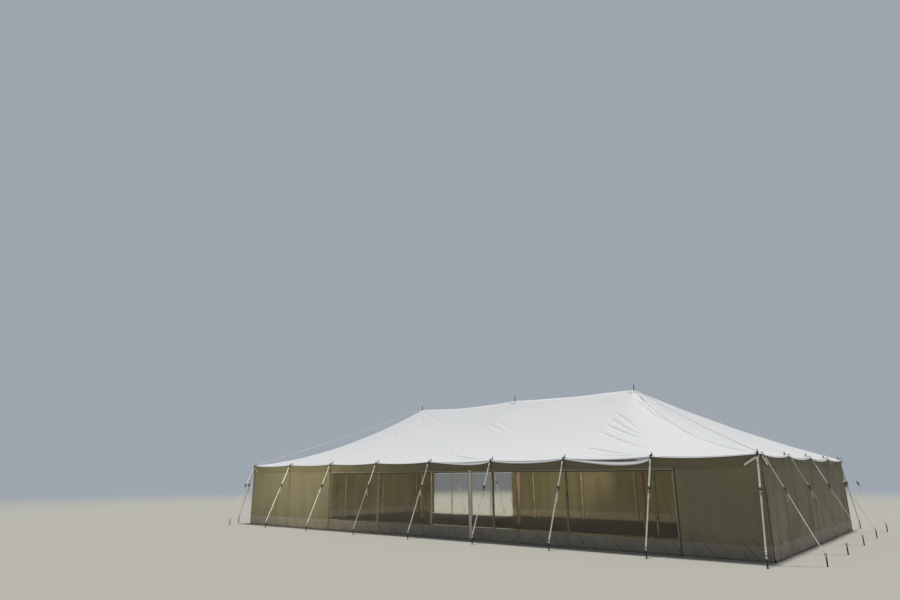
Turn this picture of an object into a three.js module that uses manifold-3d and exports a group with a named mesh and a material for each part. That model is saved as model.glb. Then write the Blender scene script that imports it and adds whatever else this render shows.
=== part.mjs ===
// Pole marquee, 18 m by 9 m: a white canvas roof with hipped ends over three centre poles,
// held up at the eaves by side poles and pulled outward by strap guys to stakes.
// Units are millimetres, +Z up, +X along the marquee, the front wall faces -Y.
// The origin is on the ground at the middle of the plan.

import * as THREE from "three";
import { mergeVertices } from "three/addons/utils/BufferGeometryUtils.js";
import Module from "manifold-3d";

const wasm = await Module();
wasm.setup();

// Plan and heights
const BAY = 2250; // from one side pole to the next
const LONG_BAYS = 8;
const SHORT_BAYS = 4;
const HALF_LENGTH = (LONG_BAYS * BAY) / 2;
const HALF_DEPTH = (SHORT_BAYS * BAY) / 2;
const RIDGE_HALF = HALF_LENGTH - HALF_DEPTH; // from the middle to an end centre pole
const CENTRE_STEP = 2 * BAY; // from one centre pole to the next
const EAVE = 2080; // underside of the canvas at a side pole
const PEAK = 4220; // underside of the canvas at a centre pole

// How far the canvas hangs below straight lines
const EAVE_SAG = 40; // between side poles
const EAVE_SAG_FADE = 8; // power of the way down: the scallops fade out soon above the eave
const RIDGE_SAG_LEFT = 90; // between the left and the middle centre pole
const RIDGE_SAG_RIGHT = 45;
const RIDGE_SAG_FADE = 2; // power of the way up
const SLOPE_SAG = 240; // half way from ridge to eave
const HIP_SAG = 370; // half way down a hip
const BACK_RIGHT_HIP_SAG = 140; // this hip is drawn tighter than the others

// Canvas, valance and walls
const SKIN = 12;
const OVERHANG = 80; // canvas edge beyond the line of the side poles
const VALANCE_DEPTH = 210;
const WALL_INSET = 48; // inner face of a wall beyond the line of the side poles
const CLEAR_SHEET = 5;
const GAP = 0.3; // between pieces that touch
const EAVE_GAP = 0.6; // between a wall or valance and the canvas above it
const SLOPE_ROWS = 6; // steps from ridge to eave
const BAY_STEPS = 4; // steps along the eave in one bay
const CORNER_EASE = 3; // a piece that turns a corner is this much lower there

// Front wall, from left to right, and the entrance in the back wall
const WINDOWS_START = -4500;
const WINDOWS_JOIN = 1500;
const WINDOWS_END = 7250;
const WINDOW_SILL = 310;
const WINDOW_HEAD = 1770;
const WINDOW_BORDER = 45;
const ENTRANCE_LEFT = -7900;
const ENTRANCE_RIGHT = -3400;
const BACK_WALL_JOIN = 2250;

// Poles and their pins
const CENTRE_POLE_RADIUS = 60;
const CENTRE_FOOT_RADIUS = 80;
const CENTRE_FOOT_THICKNESS = 12;
const CENTRE_SHOULDER_DROP = 46;
const CENTRE_PIN_RADIUS = 14;
const CENTRE_PIN_RISE = 170;
const SIDE_POLE_RADIUS = 30;
const SIDE_SHOULDER_DROP = 18;
const SIDE_PIN_RADIUS = 9;
const SIDE_PIN_RISE = 100;
const PIN_HOLE_CLEARANCE = 0.5;
const PIN_HOLE_LENGTH = 150; // passes through the sloping canvas
const ROUND_SIDES = 12;

// Guys: a tab over the canvas edge, a wide strap, a ratchet, a narrow strap and a stake
const TAB_REACH = 95;
const TAB_WIDTH = 50;
const TAB_THICKNESS = 6;
const TAB_RISE = 20; // underside of the tab above the canvas underside at the pole
const STAKE_OUT = 950;
const STAKE_RADIUS = 14;
const STAKE_HEIGHT = 225;
const STAKE_SIDES = 8;
const STRAP_END_HEIGHT = 190;
const STRAP_THICKNESS = 6;
const WIDE_STRAP = 38;
const NARROW_STRAP = 28;
const RATCHET_AT = 0.39; // along the strap, from the top
// The guys of the last two poles at the right end of the long sides lean towards that end
const LAST_SPLAY = THREE.MathUtils.degToRad(9);
const NEXT_SPLAY = THREE.MathUtils.degToRad(5);
const RATCHET_SIZE = [62, 46, 120];
const STRAP_LOOP = [54, 46, 50];

// Hip ropes
const ROPE_RADIUS = 8;
const ROPE_SAG = 70;
const ROPE_STEPS = 6;
const ROPE_SIDES = 8;
const ROPE_ABOVE_ROPE = 16; // two ropes at one pin start one above the other
const ROPE_PEAK_RISE = 45;
const ROPE_CORNER_RISE = 40;

function finish(color, roughness, metalness = 0) {
  return new THREE.MeshStandardMaterial({ color, roughness, metalness });
}

const CANVAS = () => finish(0xdfe2e6, 0.6);
const WALL_CANVAS = () => finish(0xcfcbbb, 0.7);
const CLEAR = () => finish(0xd8dcd4, 0.12);
const TIMBER = () => finish(0x6a4d33, 0.7);
const ROPE = () => finish(0xd9d5c6, 0.8);
const POLE_STEEL = () => finish(0x8c8272, 0.55, 0.3);

// A geometry with shared corners and no collapsed triangles.
function weld(geometry) {
  const bare = geometry.clone();
  bare.deleteAttribute("normal");
  bare.deleteAttribute("uv");
  const merged = mergeVertices(bare, 1e-3);
  const kept = [];
  const index = merged.index.array;
  for (let i = 0; i < index.length; i += 3) {
    const [a, b, c] = [index[i], index[i + 1], index[i + 2]];
    if (a !== b && b !== c && c !== a) kept.push(a, b, c);
  }
  merged.setIndex(kept);
  return merged;
}

function toSolid(geometry) {
  const welded = weld(geometry);
  const mesh = new wasm.Mesh({
    numProp: 3,
    vertProperties: new Float32Array(welded.attributes.position.array),
    triVerts: new Uint32Array(welded.index.array),
  });
  return new wasm.Manifold(mesh);
}

function toGeometry(solid) {
  const mesh = solid.getMesh();
  const geometry = new THREE.BufferGeometry();
  geometry.setAttribute("position", new THREE.BufferAttribute(mesh.vertProperties, 3));
  geometry.setIndex(new THREE.BufferAttribute(mesh.triVerts, 1));
  return geometry;
}

function join(geometries) {
  return toGeometry(geometries.map(toSolid).reduce((whole, solid) => whole.add(solid)));
}

function cut(geometry, tools) {
  return toGeometry(tools.map(toSolid).reduce((rest, tool) => rest.subtract(tool), toSolid(geometry)));
}

function piece(name, geometry, material) {
  const mesh = new THREE.Mesh(geometry, material);
  mesh.name = name;
  return mesh;
}

// 0 at each support and 1 half way between two of them, as a slack line hangs.
function hang(distance, span) {
  const part = distance / span - Math.floor(distance / span);
  return 4 * part * (1 - part);
}

// Height of the canvas underside on one slope: along is the place on the eave line,
// down is 0 at the ridge and 1 at the line of the side poles.
function canvasHeight(side, along, down) {
  const half = along < 0 ? side.firstHalf : side.lastHalf;
  const beyond = Math.max(0, Math.abs(along) - side.ridgeHalf) / HALF_DEPTH; // 1 at a hip
  const slopeSag = (SLOPE_SAG + (half.hipSag - SLOPE_SAG) * beyond ** 2) * 4 * down * (1 - down);
  const eaveSag = EAVE_SAG * hang(along, BAY) * Math.min(1, down) ** EAVE_SAG_FADE;
  const onRidge = beyond > 0 ? 0 : Math.max(0, 1 - down) ** RIDGE_SAG_FADE;
  const ridgeSag = half.ridgeSag * hang(along, CENTRE_STEP) * onRidge;
  return EAVE + (PEAK - EAVE) * (1 - down) - slopeSag - eaveSag - ridgeSag;
}

// Past an end centre pole the slope is a fan about that pole.
function acrossAt(along, down, ridgeHalf) {
  const beyond = Math.max(0, Math.abs(along) - ridgeHalf);
  return along - Math.sign(along) * beyond * (1 - down);
}

function alongAt(across, down, ridgeHalf) {
  const beyond = Math.max(0, Math.abs(across) - ridgeHalf);
  return across + Math.sign(across) * beyond * (1 / down - 1);
}

// The canvas underside above a line out beyond the side poles, as points of place and height.
function eaveLine(side, from, to, out) {
  const { ridgeHalf } = side;
  const down = 1 + out / HALF_DEPTH;
  const step = BAY / BAY_STEPS;
  const first = alongAt(from, down, ridgeHalf);
  const last = alongAt(to, down, ridgeHalf);
  const places = [first];
  for (let k = Math.floor(first / step) + 1; k * step < last; k++) places.push(k * step);
  places.push(last);
  return places.map((along) => {
    const atCorner = Math.abs(along) > ridgeHalf + HALF_DEPTH - CORNER_EASE;
    const clearance = atCorner ? CORNER_EASE : EAVE_GAP;
    return [acrossAt(along, down, ridgeHalf), canvasHeight(side, along, down) - clearance];
  });
}

// A thin box splits the squares of its two wide faces along opposite diagonals. Here the lower
// face takes the diagonals of the upper one, so a curved sheet is equally thick everywhere.
function matchDiagonals(sheet) {
  const lower = sheet.groups[5];
  const index = sheet.index;
  for (let i = lower.start; i < lower.start + lower.count; i += 6) {
    const [a, b, d] = [index.getX(i), index.getX(i + 1), index.getX(i + 2)];
    const c = index.getX(i + 4);
    [a, b, c, a, c, d].forEach((corner, k) => index.setX(i + k, corner));
  }
}

// The roof over one stretch of eave, from ridge to eave, drawn as on the front:
// the eave lies at -HALF_DEPTH and the ridge at 0.
function roofSection(side, from, to) {
  const { ridgeHalf } = side;
  const columns = ((to - from) / BAY) * BAY_STEPS;
  const rows = SLOPE_ROWS + 1;
  const sheet = new THREE.BoxGeometry(1, 1, 1, columns, rows, 1);
  matchDiagonals(sheet);
  const points = sheet.attributes.position;
  for (let i = 0; i < points.count; i++) {
    const part = points.getX(i) + 0.5;
    const along = from + part * (to - from);
    const row = Math.round((0.5 - points.getY(i)) * rows);
    const down = row > SLOPE_ROWS ? 1 + OVERHANG / HALF_DEPTH : row / SLOPE_ROWS;
    // neighbouring sections stand a gap apart, closing to nothing at the ridge
    const seam = part === 0 || part === 1 ? (0.5 - part) * GAP * Math.min(1, row) : 0;
    const z = canvasHeight(side, along, down) + (points.getZ(i) > 0 ? SKIN : 0);
    points.setXYZ(i, acrossAt(along, down, ridgeHalf) + seam, -down * HALF_DEPTH - GAP, z);
  }
  const holes = [];
  for (let x = from; x <= to; x += BAY) {
    holes.push(pinHole(x, -HALF_DEPTH, EAVE, SIDE_PIN_RADIUS));
    if (Math.abs(x) <= ridgeHalf) holes.push(pinHole(x, 0, PEAK, CENTRE_PIN_RADIUS));
  }
  return cut(sheet, holes);
}

function pinHole(x, y, height, radius) {
  const tool = new THREE.CylinderGeometry(
    radius + PIN_HOLE_CLEARANCE, radius + PIN_HOLE_CLEARANCE, PIN_HOLE_LENGTH, ROUND_SIDES,
  );
  return tool.rotateX(Math.PI / 2).translate(x, y, height);
}

// A strip that hangs from the canvas edge and follows its scallops.
function valance(side, halfSpan) {
  const top = eaveLine(side, -halfSpan, halfSpan, OVERHANG);
  const hem = top.map(([x, z]) => [x, z - VALANCE_DEPTH]);
  const corners = [...hem, ...top.reverse()];
  const outline = new THREE.Shape(corners.map(([x, z]) => new THREE.Vector2(x, z)));
  return standing(outline, SKIN).translate(0, -HALF_DEPTH - OVERHANG + SKIN, 0);
}

// A hanging wall from one place to another along a side, with a window if it has one.
function curtain(side, from, to, window) {
  const top = eaveLine(side, from, to, WALL_INSET + SKIN);
  const corners = [[from, 0], [to, 0], ...top.reverse()];
  const outline = new THREE.Shape(corners.map(([x, z]) => new THREE.Vector2(x, z)));
  if (window) outline.holes.push(rectangle(...window));
  return standing(outline, SKIN).translate(0, -HALF_DEPTH - WALL_INSET, 0);
}

function rectangle(left, bottom, right, top) {
  const outline = new THREE.Path();
  return outline.moveTo(left, bottom).lineTo(left, top).lineTo(right, top).lineTo(right, bottom);
}

// An upright sheet: the outline stands in the XZ plane and thickens towards -Y.
function standing(outline, thickness) {
  const sheet = new THREE.ExtrudeGeometry(outline, { depth: thickness, bevelEnabled: false });
  return weld(sheet.rotateX(Math.PI / 2));
}

function windowHole(from, to) {
  return [from + WINDOW_BORDER, WINDOW_SILL, to - WINDOW_BORDER, WINDOW_HEAD];
}

// The clear sheet is fixed to the inner face of the wall, round the window.
function clearSheet(from, to) {
  const lap = WINDOW_BORDER / 2;
  const [left, bottom, right, top] = windowHole(from, to);
  const sheet = new THREE.BoxGeometry(right - left + 2 * lap, CLEAR_SHEET, top - bottom + 2 * lap);
  const y = -HALF_DEPTH - WALL_INSET + GAP + CLEAR_SHEET / 2;
  return weld(sheet.translate((left + right) / 2, y, (bottom + top) / 2));
}

// A turned post: points are radius and height pairs from the foot to the tip of the pin.
function turned(points) {
  const profile = [[0, 0], ...points, [0, points.at(-1)[1]]].map(([r, z]) => new THREE.Vector2(r, z));
  return weld(new THREE.LatheGeometry(profile, ROUND_SIDES).rotateX(Math.PI / 2));
}

function centrePole() {
  return turned([
    [CENTRE_FOOT_RADIUS, 0],
    [CENTRE_FOOT_RADIUS, CENTRE_FOOT_THICKNESS],
    [CENTRE_POLE_RADIUS, CENTRE_FOOT_THICKNESS],
    [CENTRE_POLE_RADIUS, PEAK - CENTRE_SHOULDER_DROP],
    [CENTRE_PIN_RADIUS, PEAK - CENTRE_PIN_RADIUS],
    [CENTRE_PIN_RADIUS, PEAK + CENTRE_PIN_RISE],
  ]);
}

function sidePole() {
  return turned([
    [SIDE_POLE_RADIUS, 0],
    [SIDE_POLE_RADIUS, EAVE - SIDE_SHOULDER_DROP],
    [SIDE_PIN_RADIUS, EAVE - SIDE_PIN_RADIUS],
    [SIDE_PIN_RADIUS, EAVE + SIDE_PIN_RISE],
  ]);
}

// A bar of rectangular section between two points of the plane in which a guy lies.
function bar(from, to, width, thickness) {
  const run = new THREE.Vector2().subVectors(to, from);
  const box = new THREE.BoxGeometry(thickness, width, run.length());
  const middle = new THREE.Vector2().addVectors(from, to).multiplyScalar(0.5);
  return box.rotateY(Math.atan2(run.x, run.y)).translate(middle.x, 0, middle.y);
}

// One guy, running out along +X from a pole at the origin.
function guy() {
  const tabHeight = EAVE + TAB_RISE + TAB_THICKNESS / 2;
  const top = new THREE.Vector2(TAB_REACH - STRAP_THICKNESS / 2, tabHeight);
  const bottom = new THREE.Vector2(STAKE_OUT, STRAP_END_HEIGHT);
  const ratchet = new THREE.Vector2().lerpVectors(top, bottom, RATCHET_AT);
  const lean = Math.atan2(bottom.x - top.x, bottom.y - top.y);
  const [ratchetWidth, ratchetThickness, ratchetLength] = RATCHET_SIZE;
  const [loopWidth, loopThickness, loopHeight] = STRAP_LOOP;
  return [
    new THREE.BoxGeometry(TAB_REACH, TAB_WIDTH, TAB_THICKNESS).translate(TAB_REACH / 2, 0, tabHeight),
    bar(top, ratchet, WIDE_STRAP, STRAP_THICKNESS),
    new THREE.BoxGeometry(ratchetThickness, ratchetWidth, ratchetLength)
      .rotateY(lean).translate(ratchet.x, 0, ratchet.y),
    bar(ratchet, bottom, NARROW_STRAP, STRAP_THICKNESS),
    new THREE.BoxGeometry(loopThickness, loopWidth, loopHeight)
      .translate(STAKE_OUT, 0, STRAP_END_HEIGHT),
    new THREE.CylinderGeometry(STAKE_RADIUS, STAKE_RADIUS, STAKE_HEIGHT, STAKE_SIDES)
      .rotateX(Math.PI / 2).translate(STAKE_OUT, 0, STAKE_HEIGHT / 2),
  ];
}

// A side pole with its guys, each turned to its own direction in plan.
function station(directions) {
  const guys = directions.flatMap((angle) => guy().map((bit) => bit.rotateZ(angle)));
  return join([sidePole(), ...guys]);
}

// A taut rope from a centre pole's pin to a corner pole's pin.
function hipRope(sideX, sideY) {
  const level = sideY < 0 ? 0 : ROPE_ABOVE_ROPE;
  const top = new THREE.Vector3(sideX * RIDGE_HALF, 0, PEAK + ROPE_PEAK_RISE + level);
  const foot = new THREE.Vector3(sideX * HALF_LENGTH, sideY * HALF_DEPTH, EAVE + ROPE_CORNER_RISE);
  const unit = new THREE.Vector3().subVectors(foot, top).normalize();
  const clear = 0.4 * ROPE_RADIUS + GAP; // the rope slopes and its end is cut square
  const start = top.clone().addScaledVector(unit, CENTRE_PIN_RADIUS + clear);
  const end = foot.clone().addScaledVector(unit, -SIDE_PIN_RADIUS - clear);
  const bend = start.clone().lerp(end, 0.5);
  bend.z -= 2 * ROPE_SAG;
  const section = new THREE.Shape().absarc(0, 0, ROPE_RADIUS, 0, 2 * Math.PI);
  const route = new THREE.QuadraticBezierCurve3(start, bend, end);
  const options = { steps: ROPE_STEPS, curveSegments: ROPE_SIDES, extrudePath: route };
  return weld(new THREE.ExtrudeGeometry(section, options));
}

const marquee = new THREE.Group();

// Each quarter of the roof, seen from above, with the sags that differ between them
const frontLeft = { hipSag: HIP_SAG, ridgeSag: RIDGE_SAG_LEFT };
const frontRight = { hipSag: HIP_SAG, ridgeSag: RIDGE_SAG_RIGHT };
const backRight = { hipSag: BACK_RIGHT_HIP_SAG, ridgeSag: RIDGE_SAG_RIGHT };
const backLeft = { hipSag: HIP_SAG, ridgeSag: RIDGE_SAG_LEFT };

// Each side is drawn as the front one and turned into place about the middle of the plan, so that
// its first half is the one at the left seen from outside. The short sides are drawn about the
// foot of their own centre pole.
const front = { name: "front", turn: 0, shift: 0, firstHalf: frontLeft, lastHalf: frontRight };
const right = { name: "right", turn: 90, shift: RIDGE_HALF, firstHalf: frontRight, lastHalf: backRight };
const back = { name: "back", turn: 180, shift: 0, firstHalf: backRight, lastHalf: backLeft };
const left = { name: "left", turn: 270, shift: -RIDGE_HALF, firstHalf: backLeft, lastHalf: frontLeft };

for (const side of [front, right, back, left]) {
  side.ridgeHalf = side.shift === 0 ? RIDGE_HALF : 0;
  side.group = new THREE.Group();
  side.group.rotation.z = THREE.MathUtils.degToRad(side.turn);
  side.group.position.x = side.shift;
  marquee.add(side.group);
}

// The back is turned half round, so a stretch of it is drawn the other way about.
function stretch(side, from, to) {
  return side === back ? [-to, -from] : [from, to];
}

// The long slopes are made in stretches that meet at the centre poles.
const sections = [
  ["end_left", -HALF_LENGTH, -RIDGE_HALF],
  ["middle_left", -RIDGE_HALF, 0],
  ["middle_right", 0, RIDGE_HALF],
  ["end_right", RIDGE_HALF, HALF_LENGTH],
];

for (const side of [front, back]) {
  for (const [name, from, to] of sections) {
    const shape = roofSection(side, ...stretch(side, from, to));
    side.group.add(piece(`roof_${side.name}_${name}`, shape, CANVAS()));
  }
}
for (const side of [left, right]) {
  const shape = roofSection(side, -HALF_DEPTH, HALF_DEPTH);
  side.group.add(piece(`roof_${side.name}_hip`, shape, CANVAS()));
}
for (const side of [front, right, back, left]) {
  const corner = side.ridgeHalf > 0 ? 0 : SKIN + GAP;
  const half = side.ridgeHalf + HALF_DEPTH + OVERHANG - corner;
  side.group.add(piece(`valance_${side.name}`, valance(side, half), CANVAS()));
}

function addWall(side, name, from, to, window) {
  const shape = curtain(side, ...stretch(side, from, to), window);
  side.group.add(piece(name, shape, WALL_CANVAS()));
}

const wallEnd = HALF_LENGTH + WALL_INSET + SKIN;
addWall(front, "front_wall_left", -wallEnd, WINDOWS_START - GAP);
for (const [name, from, to] of [
  ["left", WINDOWS_START, WINDOWS_JOIN],
  ["right", WINDOWS_JOIN, WINDOWS_END],
]) {
  addWall(front, `front_window_wall_${name}`, from, to - GAP, windowHole(from, to));
  front.group.add(piece(`front_window_clear_${name}`, clearSheet(from, to), CLEAR()));
}
addWall(front, "front_wall_right", WINDOWS_END, wallEnd);

addWall(back, "back_wall_left", -wallEnd, ENTRANCE_LEFT);
addWall(back, "back_wall_middle", ENTRANCE_RIGHT, BACK_WALL_JOIN - GAP);
addWall(back, "back_wall_right", BACK_WALL_JOIN, wallEnd);

const endWallHalf = HALF_DEPTH + WALL_INSET - GAP;
addWall(left, "left_end_wall", -endWallHalf, endWallHalf);
addWall(right, "right_end_wall", -endWallHalf, endWallHalf);

for (const [name, x] of [["left", -RIDGE_HALF], ["middle", 0], ["right", RIDGE_HALF]]) {
  const pole = piece(`centre_pole_${name}`, centrePole(), TIMBER());
  pole.position.x = x;
  marquee.add(pole);
}

function addStation(name, x, y, directions) {
  const pole = piece(name, station(directions), POLE_STEEL());
  pole.position.set(x, y, 0);
  marquee.add(pole);
}

const outward = { front: -Math.PI / 2, back: Math.PI / 2, left: Math.PI, right: 0 };
for (const [row, y] of [["front", -HALF_DEPTH], ["back", HALF_DEPTH]]) {
  for (let k = 0; k <= LONG_BAYS; k++) {
    const towardsRight = Math.sign(Math.sin(outward.right - outward[row]));
    const splay = { [LONG_BAYS]: LAST_SPLAY, [LONG_BAYS - 1]: NEXT_SPLAY }[k] ?? 0;
    const directions = [outward[row] + towardsRight * splay];
    if (k === 0) directions.push(outward.left);
    if (k === LONG_BAYS) directions.push(outward.right);
    addStation(`side_pole_and_guy_${row}_${k + 1}`, k * BAY - HALF_LENGTH, y, directions);
  }
}
for (const [row, x] of [["left", -HALF_LENGTH], ["right", HALF_LENGTH]]) {
  for (let k = 1; k < SHORT_BAYS; k++) {
    addStation(`side_pole_and_guy_${row}_${k}`, x, k * BAY - HALF_DEPTH, [outward[row]]);
  }
}

for (const [end, sideX] of [["left", -1], ["right", 1]]) {
  for (const [face, sideY] of [["front", -1], ["back", 1]]) {
    marquee.add(piece(`hip_rope_${face}_${end}`, hipRope(sideX, sideY), ROPE()));
  }
}

export default marquee;
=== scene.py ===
# Pole marquee, 18 m by 9 m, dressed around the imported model.
# Everything is in metres: +X along the marquee, +Z up, and the front wall faces -Y.

import math
import random

import bmesh
import bpy
import numpy as np
from mathutils import Matrix, Vector


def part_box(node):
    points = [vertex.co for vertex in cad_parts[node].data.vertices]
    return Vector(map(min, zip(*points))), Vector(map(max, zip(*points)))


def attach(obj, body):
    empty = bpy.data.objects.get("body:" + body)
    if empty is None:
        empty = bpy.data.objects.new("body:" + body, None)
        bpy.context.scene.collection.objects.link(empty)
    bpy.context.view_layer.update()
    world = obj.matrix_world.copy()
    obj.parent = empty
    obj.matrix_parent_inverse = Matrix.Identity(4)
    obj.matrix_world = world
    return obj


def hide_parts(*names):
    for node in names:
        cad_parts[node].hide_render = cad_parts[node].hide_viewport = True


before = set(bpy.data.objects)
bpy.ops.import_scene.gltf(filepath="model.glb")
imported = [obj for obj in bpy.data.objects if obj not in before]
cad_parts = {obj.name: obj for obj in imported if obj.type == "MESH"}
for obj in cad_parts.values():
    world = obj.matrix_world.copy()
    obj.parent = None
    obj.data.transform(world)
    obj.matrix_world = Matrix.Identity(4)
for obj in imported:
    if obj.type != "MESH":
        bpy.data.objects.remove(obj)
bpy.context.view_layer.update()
scene = bpy.context.scene

# Camera
# It stands before the right half of the front, at eye height, and looks up a little towards the
# left, as the photograph does.
EYE = (12.614, -18.585, 1.692)
LOOK_LEFT = math.radians(40.046)  # from straight ahead, which is +Y
LOOK_UP = math.radians(15.781)
TILT = math.radians(0.375)
LENS_MM = 24.77

camera = bpy.data.objects.new("camera", bpy.data.cameras.new("camera"))
camera.data.lens = LENS_MM
camera.data.sensor_width = 36
camera.data.clip_end = 500
turn = Matrix.Rotation(LOOK_LEFT, 4, "Z") @ Matrix.Rotation(math.pi / 2 + LOOK_UP, 4, "X")
camera.matrix_world = Matrix.Translation(EYE) @ turn @ Matrix.Rotation(-TILT, 4, "Z")
scene.collection.objects.link(camera)
scene.camera = camera

# Floor and light
# A plain pale floor that fades into a plain backdrop, and a soft high sun from a little behind the
# ridge. Unseen lamps stand for the warm light that canvas lets through, two of them inside and one
# before the left end. They leave the floor and the roof alone.
FLOOR_RADIUS = 60
FLOOR_SOLID = 22  # the fade starts this far out
FLOOR_COLOR = (0.45, 0.44, 0.39, 1)
BACKDROP = (0.34, 0.38, 0.43, 1)
SKY_LIGHT = (0.84, 0.90, 1.0, 1)
SKY_STRENGTH = 0.22
SUN_STRENGTH = 2.85
SUN_FROM = (-0.04, 0.22, 0.97)
GLOW = (1.0, 0.92, 0.73)

scene.view_settings.view_transform = "Standard"


def feed(node, inputs):
    """Sets each named input of a node, or joins it to the output given."""
    for name, value in inputs.items():
        socket = node.inputs[name]
        if isinstance(value, bpy.types.NodeSocket):
            node.id_data.links.new(value, socket)
        else:
            socket.default_value = value


def add_node(tree, kind, inputs=None, **settings):
    """Adds a node and gives its outputs."""
    node = tree.nodes.new("ShaderNode" + kind)
    for name, value in settings.items():
        setattr(node, name, value)
    feed(node, inputs or {})
    return node.outputs


def calc(tree, operation, *values):
    return add_node(tree, "Math", dict(enumerate(values)), operation=operation)[0]


def remap(tree, value, low, high, to_low=0.0, to_high=1.0):
    inputs = {"Value": value, "From Min": low, "From Max": high, "To Min": to_low, "To Max": to_high}
    return add_node(tree, "MapRange", inputs, interpolation_type="SMOOTHSTEP")[0]


def new_material(name):
    material = bpy.data.materials.new(name)
    material.use_nodes = True
    return material, material.node_tree, material.node_tree.nodes["Principled BSDF"]


def floor_material():
    material, tree, shader = new_material("pale_floor")
    place = add_node(tree, "NewGeometry")["Position"]
    distance = add_node(tree, "VectorMath", {0: place}, operation="LENGTH")["Value"]
    fade = remap(tree, distance, FLOOR_SOLID, FLOOR_RADIUS - 2, 1, 0)
    feed(shader, {"Base Color": FLOOR_COLOR, "Roughness": 0.9, "Alpha": fade})
    return material


disc = bmesh.new()
bmesh.ops.create_circle(disc, cap_ends=True, segments=96, radius=FLOOR_RADIUS)
floor_mesh = bpy.data.meshes.new("floor")
disc.to_mesh(floor_mesh)
disc.free()
floor = bpy.data.objects.new("floor", floor_mesh)
floor.data.materials.append(floor_material())
scene.collection.objects.link(floor)

world = bpy.data.worlds.new("plain_studio")
scene.world = world
world.use_nodes = True
sky = world.node_tree.nodes["Background"]
seen = add_node(world.node_tree, "LightPath")["Is Camera Ray"]
shade = add_node(world.node_tree, "Mix", {0: seen, 6: SKY_LIGHT, 7: BACKDROP}, data_type="RGBA")[2]
feed(sky, {"Color": shade, "Strength": remap(world.node_tree, seen, 0, 1, SKY_STRENGTH, 1)})


def add_light(name, kind, energy, color, **settings):
    light = bpy.data.objects.new(name, bpy.data.lights.new(name, kind))
    light.data.energy = energy
    light.data.color = color
    for key, value in settings.items():
        setattr(light.data, key, value)
    scene.collection.objects.link(light)
    return light


sun = add_light("soft_sun", "SUN", SUN_STRENGTH, (1.0, 0.985, 0.95), angle=math.radians(7))
sun.rotation_euler = Vector(SUN_FROM).to_track_quat("Z", "Y").to_euler()
outside_glow = bpy.data.collections.new("outside_glow")


def keep_from_glow(piece):
    outside_glow.objects.link(piece)
    outside_glow.collection_objects[-1].light_linking.link_state = "EXCLUDE"


keep_from_glow(floor)
for name, energy, width, place, facing, spread in (
    ("glow_on_back_wall", 155, 17, (0, -3.6, 1.6), 0, 110),
    ("glow_on_left_end", 125, 8, (2, 0, 1.6), math.pi / 2, 110),
    ("glow_on_left_outside", 62, 4, (-6.2, -15, 2), 0, 50),
):
    lamp = add_light(name, "AREA", energy, GLOW, shape="RECTANGLE", size=width, size_y=1)
    lamp.data.spread = math.radians(spread)
    upright = Matrix.Rotation(facing, 4, "Z") @ Matrix.Rotation(math.pi / 2, 4, "X")
    lamp.matrix_world = Matrix.Translation(place) @ upright
    lamp.visible_camera = lamp.visible_glossy = lamp.visible_transmission = False
    lamp.light_linking.receiver_collection = outside_glow

# Roof canvas
# One sheet of white coated canvas, sewn from strips and laid over three centre poles and the heads
# of the side poles. It hangs in shallow curves between them and creases out from each head.
RIDGE_X = (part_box("centre_pole_right")[0].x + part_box("centre_pole_right")[1].x) / 2
BAY = RIDGE_X / 2
HALF_X = 4 * BAY
HALF_Y = 2 * BAY
EAVE = 2.08  # underside of the canvas at a side pole
PEAK = 4.22  # underside of the canvas at a centre pole
OVERHANG = 0.08
EAVE_SAG = 0.04  # between side poles
EAVE_SAG_FADE = 8  # power of the way down: the scallops fade out soon above the eave
RIDGE_SAG_LEFT = 0.09  # between the left and the middle centre pole
RIDGE_SAG_RIGHT = 0.045
RIDGE_SAG_FADE = 2  # power of the way up
SLOPE_SAG = 0.24  # half way from ridge to eave
HIP_SAG = 0.37  # half way down a hip
BACK_RIGHT_HIP_SAG = 0.14  # this hip is drawn tighter than the others
CLOTH = 0.0015  # thickness of the canvas
LIFT = 0.010  # middle of the cloth above the underside of the CAD roof
MESH_STEP = BAY / 20
FINE_STEPS = 4  # cuts across each cell near the eaves
STRIP = BAY / 2  # width of one sewn strip of canvas
# In each bay of the front from the left: how far the slack edge first turns straight down, how
# much the slack leans to the right head, and how far the edge then rolls out over the valance
FRONT_SLACK = (
    (0.006, 0, 0.008), (0.006, 0, 0.006), (0.004, 0, 0.002), (0.006, 0, 0.004),
    (0.014, 0.8, 0.050), (0.012, 0, 0.050), (0.046, 0.55, 0.086), (0.000, -0.5, 0.020),
)
TURN, LIP = 0.010, 0.030  # the same on the other sides
LONG_CREASE = 0.050  # half width of a crease that stands out
CREASE_CUTS = ((0, 1.7), (0.0095, 1.3), (0.024, 1.1))  # least depth, and reach in half widths
PATCH_LIFT = 0.0017  # of a patch above the middle of the canvas
HEM = 0.010  # the edge rolls down by this much even where the canvas is tight
TURN_ROWS, LIP_ROWS = 2, 3


def hang(distance, span):
    """0 at each support and 1 half way between two of them."""
    part = distance / span - np.floor(distance / span)
    return 4 * part * (1 - part)


def eave_places(x, y):
    """Each point's place along its own eave, how far down its slope it is, and which slope."""
    down_long = np.abs(y) / HALF_Y
    down_end = (np.abs(x) - RIDGE_X) / HALF_Y
    on_long = down_long >= down_end
    down = np.maximum(np.where(on_long, down_long, down_end), 1e-6)
    past = np.maximum(0, np.abs(x) - RIDGE_X)
    along_long = x + np.sign(x) * past * (1 / down - 1)
    return np.where(on_long, along_long, y / down), down, on_long


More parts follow.
